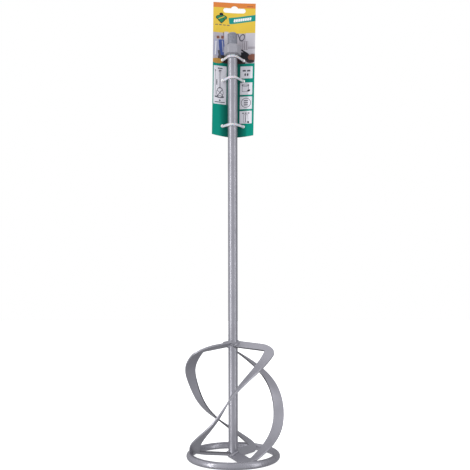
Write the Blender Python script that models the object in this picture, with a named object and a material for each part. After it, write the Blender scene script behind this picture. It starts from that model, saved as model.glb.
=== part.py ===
"""Mortar mixing paddle: three spiral blades between a tube shaft and a round-bar base ring.

The paddle stands on its ring. +Z runs up the shaft, the origin is on the shaft's axis at the floor,
and the retail card hangs at the back (+Y), held to the shaft by three cable ties. Metres throughout.
"""

import math

import bmesh
import bpy
from mathutils import Vector

MM = 0.001
GAP = 0.3 * MM  # between pieces that touch
MERGE = 0.005 * MM  # points closer than this are one

# Shaft and spindle adapter
OVERALL_HEIGHT = 600 * MM  # floor to thread tip
TUBE_RADIUS = 6.75 * MM
TUBE_WALL = 2.3 * MM
TUBE_FOOT_Z = 2.0 * MM
TUBE_SIDES = 48
THREAD_RADIUS = 7.0 * MM  # M14 x 2
THREAD_PITCH = 2.0 * MM
THREAD_DEPTH = 1.1 * MM
THREAD_STUB = 18.0 * MM  # hex shoulder to thread tip
THREAD_RELIEF = 2.0 * MM  # plain neck above the hex shoulder
THREAD_ROWS_PER_TURN = 6
HEX_ACROSS_FLATS = 22.0 * MM
HEX_HEIGHT = 12.5 * MM
HEX_CHAMFER_RADIUS = 10.3 * MM
HEX_CORNER_RADIUS = 12.1 * MM  # the six corners are turned down to this
HEX_CHAMFER_RISE = 1.6 * MM
SPIGOT_LENGTH = 24.0 * MM
ADAPTER_SIDES = 24
PLUG_LENGTH = 5.0 * MM

# Base ring, a round bar rolled into a hoop
RING_RADIUS = 61.1 * MM
RING_BAR_RADIUS = 5.0 * MM  # across the flats of its modelled section
RING_SEGMENTS = 72
RING_SIDES = 16

# Spiral blades, each pressed from one flat C-shaped blank
BLADE_COUNT = 3
BLADE_WIDTH = 14.6 * MM
BLADE_THICKNESS = 2.5 * MM
BLADE_TOP_ANGLE = -18.3  # degrees, direction of the first blade's upper arm
BLADE_WRAP = 170.2  # degrees turned from upper to lower arm
UPPER_ARM_Z = 156.6 * MM
UPPER_ARM_RISE = 0.10  # climb towards the shaft, per unit of radius
UPPER_ARM_TILT = math.radians(59.6)  # from vertical
UPPER_RADIUS = 62.7 * MM
LOWER_ARM_Z = 6.4 * MM
LOWER_ARM_TILT = math.radians(63.0)
LOWER_RADIUS = 60.4 * MM
OUTER_CORNER = 22.2 * MM
INNER_CORNER = 2.2 * MM
WEB_BULGE = 12.3 * MM  # barrel shape of the basket at mid-height
WEB_SWAY = 0.08  # the web turns faster near its ends
WEB_LAG = -0.02
ARM_ROOT = 2.0 * MM  # the arms run this far in before the shaft is cut out of them
ARM_STEPS = 3
CORNER_STEPS = 8
WEB_STEPS = 30

# Weld beads
BEAD_RADIUS = 1.9 * MM
BEAD_SIDES = 8
BEAD_STEPS = 12

# Retail card and its ties
CARD_WIDTH = 61.0 * MM
CARD_TOP_Z = 651.2 * MM
CARD_BOTTOM_Z = 457.5 * MM  # at the corners
CARD_BOTTOM_SAG = 2.6 * MM  # the lower edge is cut to a shallow curve
CARD_THICKNESS = 0.6 * MM
CARD_OFFSET_X = 2.0 * MM
CARD_ROLL = math.radians(1.2)
CARD_YAW = math.radians(3.0)
CARD_SLOPE_TOP = 0.04
CARD_SLOPE_BOTTOM = 0.28
CARD_RIDGE = 5.0 * MM  # rounding of the bend along the shaft
CARD_CONTACT_Z = 470.0 * MM  # below this the card lies on the tube; above, it leans back over the hex
SLOT_WIDTH = 32.2 * MM
SLOT_HEIGHT = 7.1 * MM
SLOT_Z = 639.7 * MM
SLOT_BUMP_RADIUS = 5.5 * MM
SLOT_BUMP_LIFT = 1.4 * MM
TIE_HOLE_RADIUS = 2.35 * MM
TIE_HOLE_X = 15.2 * MM
TIE_LEVELS = {  # height, and how far both holes are off the card's centre line
    "upper": (566.0 * MM, -1.0 * MM),
    "middle": (536.0 * MM, -0.6 * MM),
    "lower": (470.0 * MM, 0.2 * MM),
}
TIE_WIDTH = 3.6 * MM
TIE_THICKNESS = 1.1 * MM
TIE_HEAD = (5.4 * MM, 3.6 * MM, 5.6 * MM)  # along the strap, deep, high

GREY_PAINT = ((0.33, 0.33, 0.36), 0.42, 0.6)
TURNED_STEEL = ((0.42, 0.42, 0.45), 0.35, 0.8)
WELD_METAL = ((0.26, 0.26, 0.28), 0.55, 0.6)
CARD_STOCK = ((0.02, 0.30, 0.22), 0.45, 0.0)
NYLON = ((0.85, 0.85, 0.83), 0.4, 0.0)


def clear_scene():
    for obj in list(bpy.data.objects):
        bpy.data.objects.remove(obj, do_unlink=True)


def material(name, look):
    colour, roughness, metallic = look
    mat = bpy.data.materials.new(name)
    mat.use_nodes = True
    shader = mat.node_tree.nodes["Principled BSDF"]
    shader.inputs["Base Color"].default_value = (*colour, 1.0)
    shader.inputs["Roughness"].default_value = roughness
    shader.inputs["Metallic"].default_value = metallic
    return mat


def add_object(name, mesh, mat=None):
    obj = bpy.data.objects.new(name, mesh)
    bpy.context.collection.objects.link(obj)
    if mat:
        mesh.materials.append(mat)
    return obj


def mesh_from(name, points, faces, smooth_degrees=30):
    """A closed mesh with its faces turned outwards and its round stretches shaded smooth."""
    mesh = bpy.data.meshes.new(name)
    mesh.from_pydata([tuple(p) for p in points], [], faces)
    shape = bmesh.new()
    shape.from_mesh(mesh)
    bmesh.ops.recalc_face_normals(shape, faces=shape.faces)
    if shape.calc_volume(signed=True) < 0:
        bmesh.ops.reverse_faces(shape, faces=shape.faces)
    shape.to_mesh(mesh)
    shape.free()
    mesh.shade_smooth()
    mesh.set_sharp_from_angle(angle=math.radians(smooth_degrees))
    return mesh


def loft(name, sections, closed_path=False, smooth_degrees=30):
    """Joins sections, loops of the same number of points, into a bar with flat ends or into a hoop."""
    count = len(sections[0])
    points = [p for section in sections for p in section]
    spans = len(sections) if closed_path else len(sections) - 1
    faces = []
    for i in range(spans):
        near = i * count
        far = ((i + 1) % len(sections)) * count
        for j in range(count):
            k = (j + 1) % count
            faces.append((near + j, near + k, far + k, far + j))
    if not closed_path:
        last = (len(sections) - 1) * count
        faces.append(tuple(range(count)))
        faces.append(tuple(last + j for j in range(count)))
    return mesh_from(name, points, faces, smooth_degrees)


def polar(radius, angle, z):
    return Vector((radius * math.cos(angle), radius * math.sin(angle), z))


def turned(name, profile, sides, closed_profile=False, smooth_degrees=30):
    """Turns (radius, z) points about the Z axis, into a tube wall or into a solid with flat ends."""
    angles = [2 * math.pi * j / sides for j in range(sides)]
    sections = [[polar(radius, a, z) for a in angles] for radius, z in profile]
    return loft(name, sections, closed_profile, smooth_degrees)


def cutter(name, mesh):
    obj = add_object(name, mesh)
    obj.hide_render = True
    obj.display_type = "WIRE"
    return obj


def cut(obj, tool):
    modifier = obj.modifiers.new("cut_" + tool.name, "BOOLEAN")
    modifier.operation = "DIFFERENCE"
    modifier.solver = "EXACT"
    modifier.object = tool


# Shaft


def hex_radius(angle):
    sector = math.radians(60)
    return HEX_ACROSS_FLATS / 2 / math.cos((angle % sector) - sector / 2)


def thread_radius(angle, z, start, end):
    """Radius of the 60-degree thread, with a lead-in chamfer at the tip."""
    turn = ((z - start) / THREAD_PITCH - angle / (2 * math.pi)) % 1.0
    flank = min(1.0, max(0.0, 2.4 * abs(turn - 0.5) - 0.15))
    fade = min(1.0, (z - start) / THREAD_PITCH)
    radius = THREAD_RADIUS - THREAD_DEPTH * (1 - (1 - flank) * fade)
    return min(radius, THREAD_RADIUS - 1.6 * MM + (end - z))


def adapter_mesh():
    """One turned piece: a spigot inside the tube, a hex collar and the threaded stub."""
    shoulder = OVERALL_HEIGHT - THREAD_STUB
    hex_foot = shoulder - HEX_HEIGHT
    spigot_foot = hex_foot - SPIGOT_LENGTH
    bore = TUBE_RADIUS - TUBE_WALL - GAP
    neck = THREAD_RADIUS - THREAD_DEPTH
    angles = [2 * math.pi * j / ADAPTER_SIDES for j in range(ADAPTER_SIDES)]

    def ring(radius, z):
        return [polar(radius, a, z) for a in angles]

    def hex_ring(limit, z):
        return [polar(min(hex_radius(a), limit), a, z) for a in angles]

    sections = [
        ring(bore - 1.0 * MM, spigot_foot),
        ring(bore, spigot_foot + 1.0 * MM),
        ring(bore, hex_foot),
        hex_ring(11.6 * MM, hex_foot),
        hex_ring(HEX_CORNER_RADIUS, hex_foot + 0.6 * MM),
        hex_ring(HEX_CORNER_RADIUS, shoulder - HEX_CHAMFER_RISE),
        hex_ring(HEX_CHAMFER_RADIUS, shoulder),
        ring(neck, shoulder),
        ring(neck, shoulder + THREAD_RELIEF),
    ]
    start = shoulder + THREAD_RELIEF
    rows = round((OVERALL_HEIGHT - start) / THREAD_PITCH * THREAD_ROWS_PER_TURN)
    for i in range(1, rows + 1):
        z = start + (OVERALL_HEIGHT - start) * i / rows
        sections.append([polar(thread_radius(a, z, start, OVERALL_HEIGHT), a, z) for a in angles])
    return loft("spindle_adapter", sections)


def tube_mesh():
    top = OVERALL_HEIGHT - THREAD_STUB - HEX_HEIGHT - GAP
    bore = TUBE_RADIUS - TUBE_WALL
    profile = [(TUBE_RADIUS, top), (TUBE_RADIUS, TUBE_FOOT_Z), (bore, TUBE_FOOT_Z), (bore, top)]
    return turned("shaft_tube", profile, TUBE_SIDES, closed_profile=True)


def adapter_weld_mesh():
    """Fillet bead between the tube and the underside of the hex collar."""
    top = OVERALL_HEIGHT - THREAD_STUB - HEX_HEIGHT - GAP
    inner = TUBE_RADIUS + GAP
    outer = inner + 1.6 * MM
    profile = [(inner, top), (outer, top), (outer - 0.5 * MM, top - 0.7 * MM), (inner, top - 1.2 * MM)]
    return turned("adapter_weld", profile, TUBE_SIDES, closed_profile=True, smooth_degrees=60)


def plug_mesh():
    radius = TUBE_RADIUS - TUBE_WALL - GAP
    profile = [(radius, TUBE_FOOT_Z), (radius, TUBE_FOOT_Z + PLUG_LENGTH - 0.6 * MM)]
    profile.append((radius - 0.6 * MM, TUBE_FOOT_Z + PLUG_LENGTH))
    return turned("foot_plug", profile, ADAPTER_SIDES)


# Base ring


def ring_mesh(name, clearance=0.0):
    """The hoop. Its section has a flat side facing down, so that it stands on a flat rim."""
    corner_radius = (RING_BAR_RADIUS + clearance) / math.cos(math.pi / RING_SIDES)
    sections = []
    for i in range(RING_SEGMENTS):
        around = 2 * math.pi * i / RING_SEGMENTS
        section = []
        for j in range(RING_SIDES):
            a = (j + 0.5) * 2 * math.pi / RING_SIDES
            radius = RING_RADIUS + corner_radius * math.cos(a)
            section.append(polar(radius, around, RING_BAR_RADIUS + corner_radius * math.sin(a)))
        sections.append(section)
    return loft(name, sections, closed_path=True, smooth_degrees=40)


# Blades


class Arm:
    """A blade's arm: its direction from the shaft, its level and the tilt of the strip."""

    def __init__(self, angle, z, rise, tilt, radius):
        self.out = polar(1.0, angle, 0.0)
        across = polar(1.0, angle + math.pi / 2, 0.0)
        self.angle = angle
        self.z = z
        self.rise = rise
        self.radius = radius
        self.down = -math.sin(tilt) * across - math.cos(tilt) * Vector((0, 0, 1))

    def centre(self, radius):
        """Centre line of the arm at this radius, level once past the middle of the web."""
        inwards = max(0.0, self.radius - BLADE_WIDTH / 2 - radius)
        return radius * self.out + Vector((0, 0, self.z + self.rise * inwards))


def corner_pair(arm, turn, towards_web):
    """Outer and inner edge points at this fraction of the corner, from the arm (0) to the web (1)."""
    step = 1 if towards_web else -1
    sweep = turn * math.pi / 2
    pair = []
    for radius, edge, half in (
        (OUTER_CORNER, arm.radius, -BLADE_WIDTH / 2),
        (INNER_CORNER, arm.radius - BLADE_WIDTH, BLADE_WIDTH / 2),
    ):
        reach = edge - radius + radius * math.sin(sweep)
        drop = half + radius - radius * math.cos(sweep)
        pair.append(arm.centre(reach) + step * drop * arm.down)
    return pair


def arm_pair(arm, share, towards_web):
    """Outer and inner edge points at this fraction of the straight stretch, from the root (0)."""
    step = 1 if towards_web else -1
    pair = []
    for radius, edge, half in (
        (OUTER_CORNER, arm.radius, -BLADE_WIDTH / 2),
        (INNER_CORNER, arm.radius - BLADE_WIDTH, BLADE_WIDTH / 2),
    ):
        reach = ARM_ROOT + (edge - radius - ARM_ROOT) * share
        pair.append(arm.centre(reach) + step * half * arm.down)
    return pair


def web_point(start, end, share):
    """A point of a web edge between its two corners, on a barrel-shaped spiral."""
    turn = math.atan2(end.y, end.x) - math.atan2(start.y, start.x)
    while turn > 0:
        turn -= 2 * math.pi
    wave = WEB_SWAY * math.sin(2 * math.pi * share) + WEB_LAG * math.sin(math.pi * share)
    angle = math.atan2(start.y, start.x) + turn * (share + wave)
    first, last = math.hypot(start.x, start.y), math.hypot(end.x, end.y)
    radius = first + (last - first) * share + WEB_BULGE * math.sin(math.pi * share) ** 1.5
    return polar(radius, angle, start.z + (end.z - start.z) * share)


def blade_arms():
    top_angle = math.radians(BLADE_TOP_ANGLE)
    low_angle = math.radians(BLADE_TOP_ANGLE - BLADE_WRAP)
    upper = Arm(top_angle, UPPER_ARM_Z, UPPER_ARM_RISE, UPPER_ARM_TILT, UPPER_RADIUS)
    lower = Arm(low_angle, LOWER_ARM_Z, 0.0, LOWER_ARM_TILT, LOWER_RADIUS)
    return upper, lower


def blade_edges():
    """(outer, inner) edge points of the first blade, from its upper root to its lower root."""
    upper, lower = blade_arms()
    pairs = [arm_pair(upper, i / ARM_STEPS, True) for i in range(ARM_STEPS)]
    pairs += [corner_pair(upper, i / CORNER_STEPS, True) for i in range(CORNER_STEPS + 1)]
    tail = [corner_pair(lower, i / CORNER_STEPS, False) for i in range(CORNER_STEPS, -1, -1)]
    tail += [arm_pair(lower, i / ARM_STEPS, False) for i in range(ARM_STEPS - 1, -1, -1)]
    top, foot = pairs[-1], tail[0]
    for i in range(1, WEB_STEPS):
        pairs.append([web_point(top[k], foot[k], i / WEB_STEPS) for k in range(2)])
    return pairs + tail


def blade_normals(pairs):
    normals = []
    for i, (outer, inner) in enumerate(pairs):
        before = pairs[max(i - 1, 0)]
        after = pairs[min(i + 1, len(pairs) - 1)]
        along = (after[0] + after[1]) - (before[0] + before[1])
        normals.append(along.cross(outer - inner).normalized())
    return normals


def blade_mesh(name, thickness, grow=0.0):
    """The strip at this thickness; grow widens it past its edges, for a clearance tool."""
    pairs = blade_edges()
    sections = []
    for (outer, inner), normal in zip(pairs, blade_normals(pairs)):
        reach = (outer - inner).normalized() * grow
        half = normal * thickness / 2
        outer, inner = outer + reach, inner - reach
        sections.append([outer + half, inner + half, inner - half, outer - half])
    return loft(name, sections, smooth_degrees=35)


# Weld beads


def bead_mesh(name, path, sides=BEAD_SIDES):
    """A lumpy rod of weld metal along a path of points."""
    sections = []
    for i, point in enumerate(path):
        along = (path[min(i + 1, len(path) - 1)] - path[max(i - 1, 0)]).normalized()
        first = along.orthogonal().normalized()
        second = along.cross(first)
        share = i / (len(path) - 1)
        ends = 0.45 + 0.55 * math.sin(math.pi * share) ** 0.5
        radius = BEAD_RADIUS * ends * (1 + 0.12 * math.sin(5 * math.pi * share))
        turns = [2 * math.pi * j / sides for j in range(sides)]
        sections.append([point + radius * (math.cos(a) * first + math.sin(a) * second) for a in turns])
    return loft(name, sections, smooth_degrees=70)


def root_bead_path(arm, length):
    """Along the upper face of the strip, where it meets the shaft."""
    up_face = arm.out.cross(arm.down).normalized()
    if up_face.z < 0:
        up_face = -up_face
    reach = TUBE_RADIUS + 1.5 * MM
    lift = BLADE_THICKNESS / 2 + 1.3 * MM
    path = []
    for i in range(BEAD_STEPS + 1):
        offset = (i / BEAD_STEPS - 0.5) * length
        aside = offset * arm.down
        across = math.hypot(aside.x, aside.y)
        root = arm.centre(math.sqrt(max(reach**2 - across**2, 0.0)))
        path.append(root + aside + up_face * lift)
    return path


def ring_bead_path():
    """Along the ring's inner top, where the first blade's lower corner runs onto it."""
    path = []
    for outer, inner, normal in lower_corner():
        touch = outer.copy()
        for step in range(41):
            touch = inner.lerp(outer, step / 40)
            radial = math.hypot(touch.x, touch.y) - RING_RADIUS
            if math.hypot(radial, touch.z - RING_BAR_RADIUS) < RING_BAR_RADIUS + 1.2 * MM:
                break
        path.append(touch + normal * (BLADE_THICKNESS / 2 + 1.1 * MM))
    return path


def lower_corner():
    pairs = blade_edges()
    normals = blade_normals(pairs)
    first = ARM_STEPS + CORNER_STEPS + WEB_STEPS
    rows = []
    for i in range(first, first + CORNER_STEPS - 1):
        normal = normals[i] if normals[i].z > 0 else -normals[i]
        rows.append((pairs[i][0], pairs[i][1], normal))
    return rows


# Card and ties


def card_slope(z):
    """How far the card's wings lean forward: little at the top, most at the bottom."""
    down = (CARD_TOP_Z - z) / (CARD_TOP_Z - CARD_BOTTOM_Z)
    return CARD_SLOPE_TOP + (CARD_SLOPE_BOTTOM - CARD_SLOPE_TOP) * (1 - (1 - down) ** 2)


def card_back(z):
    """Depth of the middle of the stock along the bend: against the tube, then clear of the hex collar."""
    tube = TUBE_RADIUS + GAP + CARD_THICKNESS / 2
    collar = HEX_CORNER_RADIUS + GAP + CARD_THICKNESS / 2
    collar_z = OVERALL_HEIGHT - THREAD_STUB - HEX_HEIGHT
    return tube + (collar - tube) * max(0.0, z - CARD_CONTACT_Z) / (collar_z - CARD_CONTACT_Z)


def card_point(x, y, z):
    """Bends and tilts a point of the flat card, y being its depth from the middle of the stock."""
    slope = card_slope(min(z, CARD_TOP_Z))
    middle = (CARD_TOP_Z + CARD_BOTTOM_Z) / 2
    across = x / math.sqrt(1 + slope**2)
    depth = card_back(z) - slope * (math.hypot(across, CARD_RIDGE) - CARD_RIDGE) + y
    tilted_x = CARD_OFFSET_X + across * math.cos(CARD_ROLL) + (z - middle) * math.sin(CARD_ROLL)
    tilted_z = middle + (z - middle) * math.cos(CARD_ROLL) - across * math.sin(CARD_ROLL)
    return Vector((tilted_x, depth, tilted_z))


def card_blank():
    """The flat card as a fine plate, with its lower edge cut to a shallow curve."""
    columns, rows = 15, 12
    points, faces = [], []
    for side in (-1, 1):
        for i in range(rows + 1):
            for j in range(columns + 1):
                x = (j / columns - 0.5) * CARD_WIDTH
                foot = CARD_BOTTOM_Z - CARD_BOTTOM_SAG * (1 - (2 * x / CARD_WIDTH) ** 2)
                points.append((x, side * CARD_THICKNESS / 2, foot + (CARD_TOP_Z - foot) * i / rows))
    layer = (rows + 1) * (columns + 1)

    def index(side, i, j):
        return side * layer + i * (columns + 1) + j

    for side in (0, 1):
        for i in range(rows):
            for j in range(columns):
                corners = ((i, j), (i, j + 1), (i + 1, j + 1), (i + 1, j))
                faces.append(tuple(index(side, a, b) for a, b in corners))
    rim = [(0, j) for j in range(columns)] + [(i, columns) for i in range(rows)]
    rim += [(rows, j) for j in range(columns, 0, -1)] + [(i, 0) for i in range(rows, 0, -1)]
    for k, (i, j) in enumerate(rim):
        a, b = rim[(k + 1) % len(rim)]
        faces.append((index(0, i, j), index(0, a, b), index(1, a, b), index(1, i, j)))
    return mesh_from("card_blank", points, faces)


def prism(name, outline):
    """An outline of (x, z) points, extruded through the card."""
    depth = 4 * MM
    return loft(name, [[Vector((x, y, z)) for x, z in outline] for y in (-depth, depth)])


def slot_outline():
    """Hanging slot: a round-ended bar with a rounded bump in the middle of its upper edge."""
    end = SLOT_HEIGHT / 2
    reach = SLOT_WIDTH / 2 - end
    outline = []
    for i in range(9):
        a = -math.pi / 2 + math.pi * i / 8
        outline.append((reach + end * math.cos(a), SLOT_Z + end * math.sin(a)))
    base = SLOT_Z + SLOT_BUMP_LIFT
    low = math.asin((end - SLOT_BUMP_LIFT) / SLOT_BUMP_RADIUS)
    for i in range(9):
        a = low + (math.pi - 2 * low) * i / 8
        outline.append((SLOT_BUMP_RADIUS * math.cos(a), base + SLOT_BUMP_RADIUS * math.sin(a)))
    for i in range(9):
        a = math.pi / 2 + math.pi * i / 8
        outline.append((-reach + end * math.cos(a), SLOT_Z + end * math.sin(a)))
    return outline


def hole_outline(x, z):
    turns = [2 * math.pi * i / 16 for i in range(16)]
    return [(x + TIE_HOLE_RADIUS * math.cos(a), z + TIE_HOLE_RADIUS * math.sin(a)) for a in turns]


def card_mesh():
    """Cuts the slot and the six tie holes into the flat card, then bends it round the shaft."""
    blank = cutter("card_blank", card_blank())
    tools = [cutter("slot_tool", prism("slot_tool", slot_outline()))]
    for level, (height, shift) in TIE_LEVELS.items():
        for side in (-1, 1):
            outline = hole_outline(side * TIE_HOLE_X + shift, height)
            name = f"hole_tool_{level}_{'left' if side < 0 else 'right'}"
            tools.append(cutter(name, prism(name, outline)))
    for tool in tools:
        cut(blank, tool)
    graph = bpy.context.evaluated_depsgraph_get()
    mesh = bpy.data.meshes.new_from_object(blank.evaluated_get(graph))
    mesh.name = "hang_card"
    for obj in [blank, *tools]:
        bpy.data.objects.remove(obj, do_unlink=True)
    shape = bmesh.new()
    shape.from_mesh(mesh)
    bmesh.ops.remove_doubles(shape, verts=shape.verts, dist=MERGE)
    bmesh.ops.triangulate(shape, faces=shape.faces)
    for vertex in shape.verts:
        vertex.co = card_point(*vertex.co)
    shape.to_mesh(mesh)
    shape.free()
    mesh.shade_smooth()
    mesh.set_sharp_from_angle(angle=math.radians(40))
    return mesh


def tie_half(hole, side):
    """Centre line of one half of a strap, from the front of the shaft to the head behind the card."""
    radius = TUBE_RADIUS + GAP + TIE_THICKNESS / 2
    x, y = abs(hole.x), hole.y
    leave = math.atan2(y, x) - math.acos(radius / math.hypot(x, y))
    steps = 6
    points = []
    for i in range(steps + 1):
        a = -math.pi / 2 + (leave + math.pi / 2) * i / steps
        points.append((radius * math.cos(a), radius * math.sin(a)))
    along = Vector((x - points[-1][0], y - points[-1][1])).normalized()
    points.append((x - 1.2 * MM * along.x, y - 1.2 * MM * along.y))
    start = Vector((x, y)) + 0.6 * MM * along
    bend = 1.3 * MM
    heading = math.atan2(along.y, along.x)
    centre = start + bend * Vector((-along.y, along.x))
    last = math.radians(172)
    for i in range(6):
        a = heading + (last - heading) * i / 5 - math.pi / 2
        points.append((centre.x + bend * math.cos(a), centre.y + bend * math.sin(a)))
    return [(side * px, py) for px, py in points]


def tie_mesh(name, level):
    """A strap looped round the shaft and through the card, its head closed behind the card."""
    height, shift = TIE_LEVELS[level]
    holes = {side: card_point(side * TIE_HOLE_X + shift, 0.0, height) for side in (-1, 1)}
    z = (holes[-1].z + holes[1].z) / 2
    head_long, head_deep, head_high = TIE_HEAD
    back = card_back(height) + CARD_THICKNESS / 2 + GAP + head_deep / 2
    right = [(p, TIE_THICKNESS, TIE_WIDTH) for p in tie_half(holes[1], 1)]
    left = [(p, TIE_THICKNESS, TIE_WIDTH) for p in tie_half(holes[-1], -1)]
    edge, lip = head_long / 2, 0.15 * MM
    head = [
        ((edge + lip, back), TIE_THICKNESS, TIE_WIDTH),
        ((edge, back), head_deep, head_high),
        ((-edge, back), head_deep, head_high),
        ((-edge - lip, back), TIE_THICKNESS, TIE_WIDTH),
    ]
    stations = right + head + left[::-1][:-1]
    sections = []
    for i, ((x, y), deep, high) in enumerate(stations):
        ahead = stations[(i + 1) % len(stations)][0]
        behind = stations[i - 1][0]
        along = Vector((ahead[0] - behind[0], ahead[1] - behind[1])).normalized()
        if deep == head_deep:
            along = Vector((-1.0, 0.0))
        aside = Vector((along.y, -along.x, 0)) * deep / 2
        up = Vector((0, 0, high / 2))
        middle = Vector((x, y, z))
        sections.append([middle + aside + up, middle - aside + up, middle - aside - up, middle + aside - up])
    return loft(name, sections, closed_path=True, smooth_degrees=50)


# Assembly


def build_shaft():
    steel = material("turned_steel", TURNED_STEEL)
    paint = material("shaft_paint", GREY_PAINT)
    weld = material("adapter_weld_paint", WELD_METAL)
    add_object("spindle_adapter", adapter_mesh(), steel)
    add_object("shaft_tube", tube_mesh(), paint)
    add_object("adapter_weld", adapter_weld_mesh(), weld)
    add_object("foot_plug", plug_mesh(), material("plug_paint", GREY_PAINT))


def build_basket():
    """The ring, the three blades and the welds that hold them, each blade a third of a turn on."""
    add_object("base_ring", ring_mesh("base_ring"), material("ring_paint", GREY_PAINT))
    clearance = TUBE_RADIUS + GAP
    shaft_tool = turned("shaft_tool", [(clearance, -0.01), (clearance, 0.2)], TUBE_SIDES)
    shaft_tool = cutter("shaft_tool", shaft_tool)
    ring_tool = cutter("ring_tool", ring_mesh("ring_tool", GAP))
    blade_tool = cutter("blade_tool", blade_mesh("blade_tool", BLADE_THICKNESS + 2 * GAP, grow=GAP))
    blade = blade_mesh("spiral_blade", BLADE_THICKNESS)
    blade.materials.append(material("blade_paint", GREY_PAINT))
    upper, lower = blade_arms()
    weld = material("weld_paint", WELD_METAL)
    beads = {
        "hub_weld": bead_mesh("hub_weld", root_bead_path(upper, 11 * MM)),
        "foot_weld": bead_mesh("foot_weld", root_bead_path(lower, 11 * MM)),
        "ring_weld": bead_mesh("ring_weld", ring_bead_path()),
    }
    for mesh in beads.values():
        mesh.materials.append(weld)
    for i in range(BLADE_COUNT):
        turn = 2 * math.pi * i / BLADE_COUNT
        piece = add_object(f"spiral_blade_{i + 1}", blade)
        piece.rotation_euler.z = turn
        cut(piece, shaft_tool)
        cut(piece, ring_tool)
        turned_tool = cutter(f"blade_tool_{i + 1}", blade_tool.data)
        turned_tool.rotation_euler.z = turn
        for name, mesh in beads.items():
            bead = add_object(f"{name}_{i + 1}", mesh)
            bead.rotation_euler.z = turn
            cut(bead, turned_tool)
            cut(bead, ring_tool if name == "ring_weld" else shaft_tool)
    bpy.data.objects.remove(blade_tool, do_unlink=True)


def build_card():
    """The card and its ties turn together about the shaft, so their parent empty is on its axis."""
    pivot = bpy.data.objects.new("card_pivot", None)
    bpy.context.collection.objects.link(pivot)
    pivot.rotation_euler.z = CARD_YAW
    pieces = [add_object("hang_card", card_mesh(), material("card_print", CARD_STOCK))]
    nylon = material("tie_nylon", NYLON)
    for level in TIE_LEVELS:
        name = f"cable_tie_{level}"
        pieces.append(add_object(name, tie_mesh(name, level), nylon))
    for piece in pieces:
        piece.parent = pivot


def main():
    clear_scene()
    build_shaft()
    build_basket()
    build_card()


main()
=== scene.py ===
"""Mortar mixing paddle with its retail card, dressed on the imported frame.

Metres throughout, in the frame's own coordinates: +Z runs up the shaft, the origin is on its axis at the
floor, and the viewer is at -Y. The card's print is laid out in millimetres: u across the card from its
middle, and z, the height that each point of the flat card has.
"""

import math
import random

import bmesh
import bpy
from mathutils import Matrix, Vector, noise


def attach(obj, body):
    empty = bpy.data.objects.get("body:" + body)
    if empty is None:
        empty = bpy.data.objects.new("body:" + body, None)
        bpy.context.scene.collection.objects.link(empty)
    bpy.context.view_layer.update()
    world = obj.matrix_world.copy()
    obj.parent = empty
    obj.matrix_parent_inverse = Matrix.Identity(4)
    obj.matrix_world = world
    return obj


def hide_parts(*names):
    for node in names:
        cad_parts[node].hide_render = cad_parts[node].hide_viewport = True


MM = 0.001
GAP = 0.3 * MM  # between pieces that touch

# Shaft and spindle adapter
OVERALL_HEIGHT = 600 * MM
TUBE_RADIUS = 6.75 * MM
TUBE_BORE = 4.45 * MM
TUBE_FOOT_Z = 2.0 * MM
TUBE_TOP_Z = 569.2 * MM
TUBE_LIP = 0.35 * MM  # rounding of the tube's two ends
THREAD_RADIUS = 7.0 * MM
THREAD_PITCH = 2.0 * MM
THREAD_DEPTH = 1.0 * MM
THREAD_STUB = 18.0 * MM
THREAD_RELIEF = 2.0 * MM  # plain neck above the shoulder
THREAD_ROWS_PER_TURN = 14
HEX_ACROSS_FLATS = 22.0 * MM
HEX_FOOT_Z = 569.5 * MM
HEX_CORNER_RADIUS = 12.1 * MM
HEX_FOOT_RADIUS = 11.2 * MM
HEX_CHAMFER_RADIUS = 10.3 * MM
HEX_CHAMFER_RISE = 1.6 * MM
SPIGOT_LENGTH = 24.0 * MM
ROUND_SIDES = 96

# Base ring
RING_RADIUS = 61.1 * MM
RING_BAR_RADIUS = 5.0 * MM
RING_SEAM_ANGLE = math.radians(104)  # where the hoop's two ends are joined
RING_SEAM_WIDTH = 1.7 * MM
RING_SEAM_SWELL = 0.18 * MM
RING_STEPS = 288
RING_SIDES = 36

# Spiral blades
BLADE_COUNT = 3
BLADE_WIDTH = 14.6 * MM
BLADE_THICKNESS = 2.5 * MM
BLADE_EDGE_RADIUS = 0.5 * MM
BLADE_TOP_ANGLE = -18.3  # degrees about the shaft, of the first upper arm
BLADE_WRAP = 170.2  # degrees from an upper arm round to the same blade's lower arm
UPPER_ARM_Z = 156.6 * MM
UPPER_ARM_RISE = 0.10  # slope up towards the shaft
UPPER_ARM_TILT = math.radians(59.6)
UPPER_RADIUS = 62.7 * MM
LOWER_ARM_Z = 6.4 * MM
LOWER_ARM_TILT = math.radians(63.0)
LOWER_RADIUS = 60.4 * MM
OUTER_CORNER = 22.2 * MM  # bends between arm and web, at the strip's outer and inner edge
INNER_CORNER = 2.2 * MM
WEB_BULGE = 12.3 * MM  # how far the web stands out at half height
WEB_SWAY = 0.08  # how unevenly the web turns: an S shape, and a bow
WEB_LAG = -0.02
ARM_ROOT = 2.0 * MM  # where an arm starts, inside the shaft
ARM_STEPS = 10
CORNER_STEPS = 20
WEB_STEPS = 140
ROOT_CUT_RADIUS = 6.3 * MM  # the strips end inside the tube's wall

# Weld beads
BEAD_RADIUS = 2.0 * MM
RING_BEAD_RADIUS = 1.4 * MM
BEAD_SIDES = 14
BEAD_STEPS = 56
RIPPLE_PITCH = 1.5 * MM
COLLAR_BEAD_LEG = 1.7 * MM  # out along the underside of the hex
COLLAR_BEAD_DROP = 1.0 * MM  # down the tube, ending above the upper tie
COLLAR_BEAD_STEPS = 180
RING_SEED = 2
HUB_SEED = 11
FOOT_SEED = 31

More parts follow.
